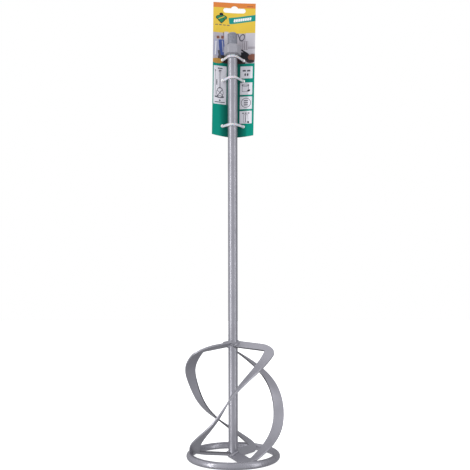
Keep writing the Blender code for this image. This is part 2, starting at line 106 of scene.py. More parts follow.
# Retail card and ties
CARD_WIDTH = 61.0 * MM
CARD_TOP_Z = 651.2 * MM
CARD_BOTTOM_Z = 457.5 * MM
CARD_BOTTOM_SAG = 2.6 * MM
CARD_THICKNESS = 0.6 * MM
CARD_OFFSET_X = 2.0 * MM
CARD_ROLL = math.radians(1.2)
CARD_YAW = math.radians(3.0)
CARD_SLOPE_TOP = 0.04
CARD_SLOPE_BOTTOM = 0.28
CARD_RIDGE = 5.0 * MM
CARD_CONTACT_Z = 470.0 * MM
SLOT_WIDTH = 32.2 * MM
SLOT_HEIGHT = 7.1 * MM
SLOT_Z = 639.7 * MM
SLOT_BUMP_RADIUS = 5.5 * MM
SLOT_BUMP_LIFT = 1.4 * MM
TIE_HOLE_RADIUS = 2.35 * MM
TIE_HOLE_X = 15.2 * MM
TIE_LEVELS = {  # height, and how far both holes are off the card's centre line
    "upper": (566.0 * MM, -1.0 * MM),
    "middle": (536.0 * MM, -0.6 * MM),
    "lower": (470.0 * MM, 0.2 * MM),
}
TIE_WIDTH = 3.6 * MM
TIE_THICKNESS = 1.1 * MM
TIE_HEAD = (5.4 * MM, 3.6 * MM, 5.6 * MM)  # along the strap, deep, high

# Linear colours
PAINT = (0.340, 0.335, 0.370)
PAINT_DARK = (0.240, 0.236, 0.262)
PAINT_LIGHT = (0.460, 0.455, 0.490)
# Near black: painted shade on the blades' inner edge faces.
PAINTED_EDGE_SHADE = (0.070, 0.068, 0.075)
# Dark of weld pits; at the ring welds it is also painted shade.
WELD_PIT_AND_SHADE = (0.05, 0.048, 0.05)
THREAD_TINT = (0.255, 0.275, 0.325)
BOARD_PRINT = (0.25, 0.26, 0.27)
NYLON = (0.54, 0.54, 0.58)

INK = {
    "orange": (0.67, 0.215, 0.050),
    "yellow": (0.74, 0.52, 0.065),
    "teal": (0.012, 0.27, 0.225),
    "emblem": (0.03, 0.22, 0.10),
    "green": (0.001, 0.26, 0.19),
    # painted shade of the card's bend near the tube
    "painted_shade": (0.001, 0.135, 0.10),
    "panel": (0.74, 0.73, 0.78),
    "white": (0.86, 0.86, 0.86),
    "black": (0.02, 0.02, 0.024),
    "line": (0.10, 0.10, 0.12),
    "wall": (0.46, 0.43, 0.47),
    "pale": (0.58, 0.56, 0.60),
    "plank": (0.30, 0.27, 0.30),
    "blue": (0.07, 0.11, 0.33),
    "zinc": (0.42, 0.43, 0.55),
    "brick": (0.24, 0.10, 0.07),
    "sand": (0.50, 0.27, 0.06),
    "ground": (0.05, 0.035, 0.035),
}

# Camera and light
CAMERA_PLACE = (0.0, -0.884, 0.2225)
CAMERA_FIELD = 0.7508  # width of the view over its distance
CAMERA_SHIFT = (0.0044, 0.1403)
CAMERA_ROLL = math.radians(0.1)
SENSOR_WIDTH = 36.0
FLOOR_HALF = 6.0
FLOOR_GLOW = 0.75
LIGHT_AIM = Vector((0, 0, 0.3))  # the middle of the tool
BRIGHT_SIDE = (-0.25, -0.80, 0.55)  # the direction that most of the soft light comes from


# Mesh helpers


def polar(radius, angle, z):
    return Vector((radius * math.cos(angle), radius * math.sin(angle), z))


def add_object(name, mesh):
    obj = bpy.data.objects.new(name, mesh)
    bpy.context.scene.collection.objects.link(obj)
    return obj


def finish_mesh(name, shape, smooth_degrees):
    """Turns a bmesh into a mesh with outward faces and its round stretches shaded smooth."""
    bmesh.ops.recalc_face_normals(shape, faces=shape.faces)
    if shape.calc_volume(signed=True) < 0:
        bmesh.ops.reverse_faces(shape, faces=shape.faces)
    mesh = bpy.data.meshes.new(name)
    shape.to_mesh(mesh)
    shape.free()
    mesh.shade_smooth()
    mesh.set_sharp_from_angle(angle=math.radians(smooth_degrees))
    return mesh


def loft_into(shape, sections, closed_path=False, marks=None):
    """Joins sections, loops of the same number of points, into a bar or hoop.

    marks gives each point of each section its (u, v), which goes into the UV layer.
    """
    layer = shape.loops.layers.uv.verify() if marks else None
    rows = [[shape.verts.new(p) for p in section] for section in sections]
    count = len(sections[0])
    spans = len(rows) if closed_path else len(rows) - 1
    faces = []
    for i in range(spans):
        near, far = i, (i + 1) % len(rows)
        for j in range(count):
            k = (j + 1) % count
            corners = ((near, j), (near, k), (far, k), (far, j))
            faces.append((shape.faces.new([rows[a][b] for a, b in corners]), corners))
    if not closed_path:
        for i in (0, len(rows) - 1):
            corners = [(i, j) for j in range(count)]
            faces.append((shape.faces.new([rows[i][j] for j in range(count)]), corners))
    if marks:
        for face, corners in faces:
            for loop, (a, b) in zip(face.loops, corners):
                loop[layer].uv = marks[a][b]


def loft(name, sections, closed_path=False, smooth_degrees=40, marks=None):
    shape = bmesh.new()
    loft_into(shape, sections, closed_path, marks)
    return finish_mesh(name, shape, smooth_degrees)


def turned(name, profile, sides, closed_profile=False):
    """Turns (radius, z) points about the Z axis."""
    angles = [2 * math.pi * j / sides for j in range(sides)]
    sections = [[polar(radius, a, z) for a in angles] for radius, z in profile]
    return loft(name, sections, closed_profile)


def boolean_result(mesh, tools, name, smooth_degrees=40):
    """The mesh with every tool mesh cut out of it."""
    body = add_object("uncut", mesh)
    cutters = [add_object("tool", tool) for tool in tools]
    for tool in cutters:
        modifier = body.modifiers.new("cut", "BOOLEAN")
        modifier.operation = "DIFFERENCE"
        modifier.solver = "EXACT"
        modifier.object = tool
    graph = bpy.context.evaluated_depsgraph_get()
    result = bpy.data.meshes.new_from_object(body.evaluated_get(graph))
    result.name = name
    for obj in [body, *cutters]:
        bpy.data.objects.remove(obj, do_unlink=True)
    result.shade_smooth()
    result.set_sharp_from_angle(angle=math.radians(smooth_degrees))
    return result


def add_piece(name, mesh, body, nodes, look=None):
    """Makes the piece that stands for these CAD nodes. look is left out if the mesh has its materials."""
    piece = add_object(name, mesh)
    if look:
        mesh.materials.clear()
        mesh.materials.append(look)
    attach(piece, body)
    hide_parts(*nodes)


# Material helper


class Graph:
    """One procedural material, with short names for the nodes that it is built from."""

    def __init__(self, name):
        self.material = bpy.data.materials.new(name)
        self.material.use_nodes = True
        self.tree = self.material.node_tree
        self.shader = self.tree.nodes["Principled BSDF"]
        self.place = self.node("ShaderNodeTexCoord").outputs["Object"]

    def node(self, kind, **settings):
        node = self.tree.nodes.new(kind)
        for key, value in settings.items():
            setattr(node, key, value)
        return node

    def feed(self, socket, value):
        if isinstance(value, bpy.types.NodeSocket):
            self.tree.links.new(value, socket)
        elif isinstance(value, tuple) and socket.type == "RGBA":
            socket.default_value = (*value, 1.0)
        else:
            socket.default_value = value

    def surface(self, **values):
        """Feeds the shader: base_color=..., roughness=... and so on."""
        for key, value in values.items():
            self.feed(self.shader.inputs[key.replace("_", " ").title().replace("Ior", "IOR")], value)

    def math(self, operation, first, second=0.0):
        node = self.node("ShaderNodeMath", operation=operation)
        self.feed(node.inputs[0], first)
        self.feed(node.inputs[1], second)
        return node.outputs[0]

    def mix(self, share, first, second):
        node = self.node("ShaderNodeMix", data_type="RGBA")
        self.feed(node.inputs["Factor"], share)
        self.feed(node.inputs[6], first)
        self.feed(node.inputs[7], second)
        return node.outputs[2]

    def tint(self, colour, ink, mask, most):
        """The colour, with this share of ink where the mask is 1."""
        return self.mix(self.math("MULTIPLY", mask, most), colour, ink)

    def marks(self):
        return self.node("ShaderNodeUVMap", uv_map="marks").outputs["UV"]

    def split(self, vector):
        node = self.node("ShaderNodeSeparateXYZ")
        self.feed(node.inputs[0], vector)
        return node.outputs

    def stretch(self, vector, scale, location=(0, 0, 0), angle=0.0):
        node = self.node("ShaderNodeMapping", vector_type="POINT")
        self.feed(node.inputs["Vector"], vector)
        node.inputs["Location"].default_value = location
        node.inputs["Rotation"].default_value = (0, 0, angle)
        node.inputs["Scale"].default_value = scale
        return node.outputs[0]

    def grain(self, size, detail=2.0, roughness=0.5):
        """Noise over the object, from 0 to 1, whose lumps are about this size."""
        return self.noise(self.place, size, detail, roughness)

    def noise(self, vector, size, detail=2.0, roughness=0.5):
        node = self.node("ShaderNodeTexNoise")
        self.feed(node.inputs["Vector"], vector)
        node.inputs["Scale"].default_value = 1 / size
        node.inputs["Detail"].default_value = detail
        node.inputs["Roughness"].default_value = roughness
        return node.outputs["Fac"]

    def ramp(self, value, low, high, start=0.0, end=1.0):
        """start below low, end above high, and a smooth step between."""
        node = self.node("ShaderNodeMapRange", interpolation_type="SMOOTHSTEP", clamp=True)
        for socket, given in zip(node.inputs, (value, low, high, start, end)):
            self.feed(socket, given)
        return node.outputs[0]

    def bump(self, height, distance, under=None):
        node = self.node("ShaderNodeBump")
        node.inputs["Strength"].default_value = 1.0
        node.inputs["Distance"].default_value = distance
        self.feed(node.inputs["Height"], height)
        if under:
            self.feed(node.inputs["Normal"], under)
        return node.outputs[0]


# Materials


def paint_base(graph, gloss, grain):
    """Silver paint: clouds and metallic flake in the colour, and an uneven gloss; its orange peel comes
    from paint_relief.
    """
    clouds = graph.ramp(graph.grain(38 * MM, 3.0), 0.35, 0.68)
    flake = graph.grain(0.45 * MM, 1.0, 0.6)
    colour = graph.tint(PAINT, PAINT_DARK, clouds, 0.30)
    colour = graph.mix(graph.ramp(flake, 0.50, 0.78, 0.0, grain), colour, PAINT_LIGHT)
    colour = graph.mix(graph.ramp(flake, 0.48, 0.26, 0.0, grain * 0.8), colour, PAINT_DARK)
    rough = graph.ramp(graph.grain(9 * MM, 4.0, 0.6), 0.3, 0.7, gloss - 0.02, gloss + 0.06)
    return colour, rough


def paint_surface(graph, colour, rough, normal, metallic=0.55):
    graph.surface(base_color=colour, roughness=rough, metallic=metallic, ior=1.5, normal=normal)
    return graph.material


def paint_relief(graph, peel, runs):
    normal = graph.bump(graph.grain(14 * MM, 2.0), runs)
    return graph.bump(graph.grain(1.3 * MM, 3.0, 0.55), peel, under=normal)


def scuffs(graph, along):
    """Fine scratches, drawn out along one direction."""
    lines = graph.noise(graph.stretch(graph.place, along), 1.0 * MM, 2.0, 0.6)
    where = graph.ramp(graph.grain(22 * MM, 2.0), 0.52, 0.66)
    return graph.math("MULTIPLY", graph.ramp(lines, 0.66, 0.74), where)


def shaft_paint():
    graph = Graph("silver_paint_shaft")
    colour, rough = paint_base(graph, 0.34, 0.05)
    scratch = scuffs(graph, (0.9, 0.9, 0.05))
    colour = graph.tint(colour, PAINT_LIGHT, scratch, 0.35)
    # The paint is a little darker towards the foot, over about the tube's lowest 30 mm.
    height = graph.split(graph.place)[2]
    uneven = graph.math("MULTIPLY", graph.grain(7 * MM), 0.02)
    darker_foot = graph.ramp(graph.math("ADD", height, uneven), 0.03, 0.0)
    colour = graph.tint(colour, PAINT_DARK, darker_foot, 0.35)
    return paint_surface(graph, colour, rough, paint_relief(graph, 0.004 * MM, 0.03 * MM))


def blade_paint():
    """Paint over a rolled strip: grain along it, worn rims, and a near-black inner edge that is painted
    shade.
    """
    graph = Graph("silver_paint_blade")
    marks = graph.marks()
    across = graph.split(marks)[0]
    width = BLADE_WIDTH / MM
    inset = graph.math("MINIMUM", across, graph.math("SUBTRACT", width, across))
    colour, rough = paint_base(graph, 0.36, 0.14)
    grain = graph.noise(graph.stretch(marks, (1.0, 0.04, 1.0)), 0.35, 3.0, 0.6)
    colour = graph.mix(graph.ramp(grain, 0.35, 0.75, 0.0, 0.22), colour, PAINT_LIGHT)
    ragged = graph.math("ADD", inset, graph.math("MULTIPLY", graph.grain(2.2 * MM, 3.0), 0.9))
    rim = graph.ramp(ragged, 0.95, 0.55)
    colour = graph.tint(colour, PAINT_LIGHT, rim, 0.45)
    colour = graph.mix(graph.ramp(inset, 0.12, 0.02, 0.0, 0.35), colour, PAINT_DARK)
    # The inner edge face is painted near black: painted shade, standing in for the shadow on that edge.
    colour = graph.mix(graph.ramp(across, width - 0.3, width - 0.05, 0.0, 0.85), colour, PAINTED_EDGE_SHADE)
    scratch = scuffs(graph, (0.12, 0.9, 0.6))
    colour = graph.tint(colour, PAINT_LIGHT, scratch, 0.4)
    relief = paint_relief(graph, 0.02 * MM, 0.16 * MM)
    return paint_surface(graph, colour, rough, graph.bump(grain, 0.02 * MM, under=relief))


def ring_paint():
    graph = Graph("silver_paint_ring")
    colour, rough = paint_base(graph, 0.27, 0.12)
    height = graph.split(graph.place)[2]
    uneven = graph.math("MULTIPLY", graph.grain(3 * MM, 3.0), 0.0016)
    worn = graph.ramp(graph.math("SUBTRACT", height, uneven), 0.0002, -0.0004)
    colour = graph.tint(colour, PAINT_LIGHT, worn, 0.6)
    return paint_surface(graph, colour, rough, paint_relief(graph, 0.016 * MM, 0.12 * MM))


def weld_paint(name, pitting_and_shade):
    """Paint over weld metal: pitted and mottled. The second argument sets how much of it is dark; at the
    ring welds its higher setting also paints the shade of the gap between blade and ring.
    """
    graph = Graph(name)
    colour, rough = paint_base(graph, 0.42, 0.35)
    dark_pits_and_shade = graph.ramp(graph.grain(1.6 * MM, 2.0, 0.6), pitting_and_shade, pitting_and_shade - 0.10)
    colour = graph.tint(colour, WELD_PIT_AND_SHADE, dark_pits_and_shade, 0.75)
    moved = graph.stretch(graph.place, (1, 1, 1), (0.3, 0, 0))
    bright = graph.ramp(graph.noise(moved, 2.4 * MM, 2.0), 0.56, 0.72)
    colour = graph.tint(colour, PAINT_LIGHT, bright, 0.5)
    relief = graph.bump(graph.grain(1.1 * MM, 3.0, 0.6), 0.20 * MM)
    return paint_surface(graph, colour, rough, graph.bump(dark_pits_and_shade, -0.15 * MM, under=relief), 0.30)


def adapter_paint():
    """Thicker, duller paint on the hex and thread, with a sandy surface."""
    graph = Graph("silver_paint_adapter")
    colour, rough = paint_base(graph, 0.50, 0.55)
    sand = graph.grain(0.7 * MM, 2.0, 0.6)
    colour = graph.mix(graph.ramp(sand, 0.52, 0.72, 0.0, 0.35), colour, PAINT_LIGHT)
    height = graph.split(graph.place)[2]
    shoulder = OVERALL_HEIGHT - THREAD_STUB
    thread = graph.ramp(height, shoulder - 0.5 * MM, shoulder + 1.5 * MM)
    colour = graph.tint(colour, THREAD_TINT, thread, 0.5)
    relief = graph.bump(sand, 0.10 * MM)
    relief = graph.bump(graph.grain(0.3 * MM, 2.0), 0.04 * MM, under=relief)
    return paint_surface(graph, colour, rough, relief, 0.25)


def nylon():
    """Cable-tie nylon: milky and a little uneven."""
    graph = Graph("natural_nylon")
    cloud = graph.grain(3 * MM, 3.0)
    colour = graph.mix(graph.ramp(cloud, 0.3, 0.7), NYLON, (0.66, 0.66, 0.69))
    graph.surface(base_color=colour, roughness=graph.ramp(cloud, 0.3, 0.7, 0.30, 0.42))
    graph.surface(subsurface_weight=0.25, subsurface_scale=1.5 * MM, ior=1.53)
    graph.surface(normal=graph.bump(graph.grain(0.8 * MM, 2.0), 0.03 * MM))
    return graph.material


# The card's print


def shape_mask(graph, marks, kind, centre, size, angle=0.0, line=0.0):
    """1 inside a box or an ellipse, or on its outline where line, its width, is given. Millimetres."""
    turn = math.radians(angle)
    away = (-centre[0], -centre[1])
    moved = (
        away[0] * math.cos(-turn) - away[1] * math.sin(-turn),
        away[0] * math.sin(-turn) + away[1] * math.cos(-turn),
        0.0,
    )
    across, up, _ = graph.split(graph.stretch(marks, (1, 1, 1), moved, -turn))
    across = graph.math("ABSOLUTE", across)
    up = graph.math("ABSOLUTE", up)
    half = (size[0] / 2, size[1] / 2)
    if kind == "box":
        inside = graph.math(
            "MINIMUM", graph.math("SUBTRACT", half[0], across), graph.math("SUBTRACT", half[1], up)
        )
    else:
        wide = graph.math("POWER", graph.math("DIVIDE", across, half[0]), 2.0)
        tall = graph.math("POWER", graph.math("DIVIDE", up, half[1]), 2.0)
        reach = graph.math("SQRT", graph.math("ADD", wide, tall))
        inside = graph.math("MULTIPLY", graph.math("SUBTRACT", 1.0, reach), min(half))
    if line:
        inside = graph.math("SUBTRACT", line / 2, graph.math("ABSOLUTE", inside))
    return graph.ramp(inside, -0.12, 0.12)


def box(x, z, width, height, ink, angle=0, line=0):
    return "box", (x, z), (width, height), ink, angle, line


def disc(x, z, width, height, ink, angle=0, line=0):
    return "disc", (x, z), (width, height), ink, angle, line


def print_bands():
    """Bands across the card, from its green field up."""
    return [
        box(0, 584.1, 70, 44.2, "wall"),
        box(0, 625.0, 70, 37.6, "yellow"),
        box(0, 648.5, 70, 9.6, "orange"),
    ]


def print_heading():
    """An abstract emblem over a row of dashes, and a slanted banner that carries plain white bars."""
    shapes = [
        disc(-18.6, 628.6, 16.4, 8.2, "black"),
        disc(-18.6, 628.6, 14.6, 6.6, "emblem"),
        box(-18.6, 624.8, 7.6, 7.6, "black", 45),
        box(-18.6, 625.1, 6.0, 6.0, "emblem", 45),
        box(-18.6, 628.4, 9.4, 1.2, "yellow", 25),
        disc(-18.8, 633.6, 5.8, 4.2, "black"),
        box(12.4, 626.9, 40.6, 9.2, "teal", 8),
        box(22.5, 646.6, 9.0, 0.8, "brick"),
    ]
    shapes += [box(-25.5 + 5.6 * i, 617.7, 4.0, 1.1, "line") for i in range(4)]
    for i in range(8):
        along = 0.6 + 3.2 * i
        shapes.append(box(along, 625.0 + 0.14 * along, 2.5, 4.4, "white", -12))
    return shapes


def print_picture():
    """A plain building-site picture: a wall, tubs with bricks, a frame, a heap of sand and a machine."""
    shapes = [
        box(-11.0, 588.0, 6.0, 40.0, "pale"),
        box(24.0, 597.0, 14.0, 20.0, "pale"),
        box(21.0, 584.6, 22.0, 1.0, "plank"),
        box(22.0, 580.4, 18.0, 6.0, "pale"),
        box(-3.0, 567.5, 40.0, 12.0, "ground"),
        box(-23.2, 599.0, 4.2, 4.0, "brick", 8),
        box(-16.8, 599.4, 4.0, 4.4, "brick", -6),
        box(-15.6, 604.2, 0.9, 5.6, "line"),
        box(-25.6, 584.0, 8.0, 24.0, "zinc", -3),
        box(-26.6, 583.0, 1.4, 20.0, "white", -3),
        box(-17.6, 584.5, 8.0, 23.0, "blue", 5),
        box(-16.2, 586.0, 1.6, 17.0, "zinc", 5),
        box(-20.8, 574.0, 3.4, 12.0, "line", 12),
        box(15.4, 588.4, 10.0, 13.0, "plank"),
        box(7.2, 601.0, 1.6, 11.0, "line", 20),
        disc(11.8, 600.2, 6.2, 9.6, "line", -20, 1.2),
        box(14.8, 579.6, 13.0, 2.0, "black", -32),
        disc(15.4, 572.4, 19.0, 12.0, "black", -18),
        disc(27.0, 570.8, 13.0, 10.0, "brick"),
        disc(24.0, 565.0, 12.0, 5.0, "ground"),
        disc(-24.0, 564.4, 17.0, 7.6, "sand"),
    ]
    shapes += [box(11.6 + 2.6 * i, 588.4, 1.0, 12.0, "pale") for i in range(4)]
    return shapes


def print_drawing():
    """The tall panel: a line drawing of a paddle with its dimension lines."""
    shapes = [
        box(-19.6, 529.2, 19.0, 55.6, "panel"),
        box(-19.6, 553.4, 7.0, 1.5, "line"),
        box(-19.6, 550.6, 4.0, 1.2, "line"),
        box(-19.6, 549.0, 2.6, 1.4, "line", 0, 0.5),
        box(-19.6, 536.5, 1.5, 24.0, "line", 0, 0.45),
        disc(-19.6, 518.0, 9.6, 14.5, "line", 0, 0.8),
        disc(-19.6, 512.0, 10.0, 3.0, "line", 0, 0.8),
        box(-19.6, 518.0, 12.0, 1.0, "line", 52),
        box(-19.6, 518.0, 11.0, 0.8, "line", -38),
        disc(-19.6, 506.8, 2.6, 2.4, "line"),
        box(-26.4, 531.0, 0.5, 40.0, "line"),
        box(-19.6, 504.2, 15.0, 1.3, "line"),
    ]
    shapes += [disc(-26.4, z, 1.5, 2.6, "line") for z in (550.0, 512.0)]
    shapes.append(box(-24.3, 533.0, 1.5, 8.0, "line"))
    return shapes


def print_icons():
    """Four pale squares with simple signs: two bags, a bucket, a ring round three lines, and a tub."""
    levels = ((548.9, 17.6), (525.2, 17.8), (504.6, 18.2), (483.7, 18.2))
    squares = [box(18.9, z, 17.7, height, "panel") for z, height in levels]
    bags = [box(18.9 + 3.2 * side, 551.3, 4.6, 2.4, "line") for side in (-1, 1)]
    bags += [disc(18.9 + 1.8 * side, 545.6, 2.4, 4.2, "line") for side in (-1, 1)]
    bucket = [
        box(17.8, 525.4, 9.0, 8.6, "line", 0, 0.5),
        disc(17.8, 530.2, 9.4, 3.4, "line", 0, 0.5),
        disc(22.6, 522.4, 4.6, 2.8, "black", 25),
    ]
    ring = [disc(18.9, 504.6, 13.6, 13.2, "line", 0, 0.8)]
    ring += [box(18.9, 504.6 + 3.0 * i, 6.0, 1.4, "line") for i in (-1, 0, 1)]
    tub = [box(15.0 + 3.9 * i, 489.6, 2.6, 1.6, "line") for i in range(3)]
    tub += [
        box(18.9, 482.0, 6.4, 11.0, "line", 0, 0.45),
        box(18.9, 482.0, 0.9, 11.0, "line"),
        box(22.6, 476.6, 2.6, 2.6, "black"),
    ]
    return squares + bags + bucket + ring + tub


def card_front():
    graph = Graph("card_print")
    marks = graph.marks()
    across = graph.split(marks)[0]
    # The green darkens towards the middle: painted shade where the card bends back round the tube.
    painted_shade_near_shaft = graph.ramp(graph.math("ABSOLUTE", across), 22.0, 9.0)
    colour = graph.mix(painted_shade_near_shaft, INK["green"], INK["painted_shade"])
    shapes = print_bands() + print_heading() + print_picture() + print_drawing() + print_icons()
    for kind, centre, size, ink, angle, line in shapes:
        mask = shape_mask(graph, marks, kind, centre, size, angle, line)
        colour = graph.mix(mask, colour, INK[ink])
    speckle = graph.ramp(graph.noise(marks, 0.5, 2.0), 0.3, 0.7, 0.0, 0.06)
    colour = graph.mix(speckle, colour, INK["black"])
    graph.surface(base_color=colour, roughness=0.6, specular_ior_level=0.1)
    graph.surface(normal=graph.bump(graph.noise(marks, 1.6, 3.0), 0.02 * MM))
    return graph.material


def card_back():
    """Uncoated board, printed with two ruled frames and five plain bars."""
    graph = Graph("card_board")
    marks = graph.marks()
    fibre = graph.noise(graph.stretch(marks, (1.0, 0.3, 1.0)), 0.5, 4.0, 0.65)
    colour = graph.mix(graph.ramp(fibre, 0.3, 0.7), (0.66, 0.65, 0.62), (0.74, 0.73, 0.70))
    for centre, size in (((0, 606), (46, 40)), ((0, 505), (50, 44))):
        mask = shape_mask(graph, marks, "box", centre, size, 0, 0.6)
        colour = graph.tint(colour, BOARD_PRINT, mask, 0.7)
    for i in range(5):
        mask = shape_mask(graph, marks, "box", (-2, 617 - 5.5 * i), (36 - 3 * (i % 2), 1.4))
        colour = graph.tint(colour, BOARD_PRINT, mask, 0.6)
    graph.surface(base_color=colour, roughness=0.75)
    graph.surface(normal=graph.bump(fibre, 0.03 * MM))
    return graph.material


def card_edge():
    graph = Graph("card_cut_edge")
    fibre = graph.grain(0.15 * MM, 3.0)
    graph.surface(base_color=graph.mix(fibre, (0.60, 0.59, 0.56), (0.78, 0.77, 0.74)), roughness=0.85)
    graph.surface(normal=graph.bump(fibre, 0.05 * MM))
    return graph.material


# Shaft


def tube_mesh():
    lip = TUBE_LIP
    profile = [
        (TUBE_RADIUS - lip, TUBE_TOP_Z),
        (TUBE_RADIUS, TUBE_TOP_Z - lip),
        (TUBE_RADIUS, TUBE_FOOT_Z + 2.5 * lip),
        (TUBE_RADIUS - 0.3 * lip, TUBE_FOOT_Z + 1.2 * lip),
        (TUBE_RADIUS - lip, TUBE_FOOT_Z + 0.3 * lip),
        (TUBE_RADIUS - 1.6 * lip, TUBE_FOOT_Z),
        (TUBE_BORE, TUBE_FOOT_Z),
        (TUBE_BORE, TUBE_TOP_Z),
    ]
    return turned("shaft_tube_painted", profile, ROUND_SIDES, closed_profile=True)


def hex_radius(angle):
    sector = math.radians(60)
    return HEX_ACROSS_FLATS / 2 / math.cos((angle % sector) - sector / 2)


def thread_radius(angle, z, start):
    """Rounded 60-degree thread with a chamfered tip, softened by its paint."""
    turn = ((z - start) / THREAD_PITCH - angle / (2 * math.pi)) % 1.0
    flank = min(1.0, max(0.0, 2.4 * abs(turn - 0.5) - 0.15))
    flank = flank * flank * (3 - 2 * flank)
    fade = min(1.0, (z - start) / THREAD_PITCH)
    radius = THREAD_RADIUS - THREAD_DEPTH * (1 - (1 - flank) * fade)
    return min(radius, THREAD_RADIUS - 1.6 * MM + (OVERALL_HEIGHT - z))


def adapter_mesh():
    shoulder = OVERALL_HEIGHT - THREAD_STUB
    bore = TUBE_BORE - GAP
    spigot_foot = HEX_FOOT_Z - SPIGOT_LENGTH
    neck = THREAD_RADIUS - THREAD_DEPTH
    angles = [2 * math.pi * j / ROUND_SIDES for j in range(ROUND_SIDES)]

    def ring(radius, z):
        return [polar(radius, a, z) for a in angles]

    def hex_ring(limit, z):
        return [polar(min(hex_radius(a), limit), a, z) for a in angles]

    sections = [
        ring(bore - 1.0 * MM, spigot_foot),
        ring(bore, spigot_foot + 1.0 * MM),
        ring(bore, HEX_FOOT_Z),
        hex_ring(HEX_FOOT_RADIUS, HEX_FOOT_Z),
    ]
    sections += [hex_ring(HEX_FOOT_RADIUS + 0.3 * i * MM, HEX_FOOT_Z + 0.15 * i * MM) for i in (1, 2)]
    sections.append(hex_ring(HEX_CORNER_RADIUS, HEX_FOOT_Z + 0.6 * MM))
    steps = 8
    for i in range(steps + 1):
        limit = HEX_CORNER_RADIUS + (HEX_CHAMFER_RADIUS - HEX_CORNER_RADIUS) * i / steps
        sections.append(hex_ring(limit, shoulder - HEX_CHAMFER_RISE * (1 - i / steps)))
    sections.append(ring(neck + 0.6 * MM, shoulder))
    sections.append(ring(neck, shoulder + 0.5 * MM))
    start = shoulder + THREAD_RELIEF
    rows = round((OVERALL_HEIGHT - start) / THREAD_PITCH * THREAD_ROWS_PER_TURN)
    for i in range(rows + 1):
        z = start + (OVERALL_HEIGHT - start) * i / rows
        sections.append([polar(thread_radius(a, z, start), a, z) for a in angles])
    return loft("spindle_adapter_painted", sections, smooth_degrees=50)


def collar_bead_mesh():
    """The fillet under the hex, rippled where the weld was laid in short steps."""
    sections = []
    for i in range(COLLAR_BEAD_STEPS):
        around = 2 * math.pi * i / COLLAR_BEAD_STEPS
        ripple = 0.12 * MM * math.sin(30 * around) + 0.15 * MM * noise.noise(polar(3.0, around, 0.5))
        section = [(TUBE_RADIUS - 0.4 * MM, HEX_FOOT_Z - 0.1 * MM)]
        for j in range(7):
            turn = math.radians(90) * j / 6
            out = (COLLAR_BEAD_LEG + ripple) * math.cos(turn)
            down = (COLLAR_BEAD_DROP + ripple) * math.sin(turn)
            section.append((TUBE_RADIUS + out, HEX_FOOT_Z - 0.1 * MM - down))
        section.append((TUBE_RADIUS - 0.4 * MM, HEX_FOOT_Z - 0.1 * MM - COLLAR_BEAD_DROP))
        sections.append([polar(radius, around, z) for radius, z in section])
    return loft("collar_weld_bead", sections, closed_path=True, smooth_degrees=60)


# Base ring


def ring_mesh():
    """The hoop, with the faint swelling of its dressed butt joint."""
    sections = []
    for i in range(RING_STEPS):
        around = 2 * math.pi * i / RING_STEPS
        from_seam = (around - RING_SEAM_ANGLE) * RING_RADIUS / RING_SEAM_WIDTH
        swell = RING_SEAM_SWELL * math.exp(-(from_seam**2))
        section = []
        for j in range(RING_SIDES):
            a = 2 * math.pi * j / RING_SIDES
            unit = polar(1.0, around, 2.0 * math.sin(a))
            uneven = 0.06 * MM * (noise.noise(unit * 2.3) - 0.7)
            bar = RING_BAR_RADIUS + uneven + (swell if math.sin(a) > -0.3 else 0.0)
            radius = RING_RADIUS + bar * math.cos(a)
            section.append(polar(radius, around, RING_BAR_RADIUS + bar * math.sin(a)))
        sections.append(section)
    return loft("base_ring_bar", sections, closed_path=True)


# Blades


class Arm:
    """A blade's arm: its direction from the shaft, its level and the tilt of the strip."""

    def __init__(self, angle, z, rise, tilt, radius):
        self.out = polar(1.0, angle, 0.0)
        self.z = z
        self.rise = rise
        self.radius = radius
        across = polar(1.0, angle + math.pi / 2, 0.0)
        self.down = -math.sin(tilt) * across - math.cos(tilt) * Vector((0, 0, 1))
        face = self.out.cross(self.down).normalized()
        self.face = face if face.z > 0 else -face

    def centre(self, radius):
        """Centre line of the arm at this radius, level once past the middle of the web."""
        inwards = max(0.0, self.radius - BLADE_WIDTH / 2 - radius)
        return radius * self.out + Vector((0, 0, self.z + self.rise * inwards))

    def edges(self):
        """(corner radius, outermost reach, place across the strip) of the outer and the inner edge."""
        half = BLADE_WIDTH / 2
        return (OUTER_CORNER, self.radius, -half), (INNER_CORNER, self.radius - BLADE_WIDTH, half)

    def straight(self, share, step):
        """Outer and inner edge points at this fraction of the straight stretch, from the root."""
        pair = []
        for corner, edge, half in self.edges():
            reach = ARM_ROOT + (edge - corner - ARM_ROOT) * share
            pair.append(self.centre(reach) + step * half * self.down)
        return pair

    def bend(self, share, step):
        """Outer and inner edge points at this fraction of the corner, from the arm to the web."""
        sweep = share * math.pi / 2
        pair = []
        for corner, edge, half in self.edges():
            reach = edge - corner + corner * math.sin(sweep)
            drop = half + corner - corner * math.cos(sweep)
            pair.append(self.centre(reach) + step * drop * self.down)
        return pair


def web_point(start, end, share):
    """A point of a web edge between its two corners, on a barrel-shaped spiral."""
    turn = math.atan2(end.y, end.x) - math.atan2(start.y, start.x)
    while turn > 0:
        turn -= 2 * math.pi
    wave = WEB_SWAY * math.sin(2 * math.pi * share) + WEB_LAG * math.sin(math.pi * share)
    angle = math.atan2(start.y, start.x) + turn * (share + wave)
    first, last = math.hypot(start.x, start.y), math.hypot(end.x, end.y)
    radius = first + (last - first) * share + WEB_BULGE * math.sin(math.pi * share) ** 1.5
    return polar(radius, angle, start.z + (end.z - start.z) * share)


def blade_arms():
    top_angle = math.radians(BLADE_TOP_ANGLE)
    low_angle = math.radians(BLADE_TOP_ANGLE - BLADE_WRAP)
    upper = Arm(top_angle, UPPER_ARM_Z, UPPER_ARM_RISE, UPPER_ARM_TILT, UPPER_RADIUS)
    lower = Arm(low_angle, LOWER_ARM_Z, 0.0, LOWER_ARM_TILT, LOWER_RADIUS)
    return upper, lower


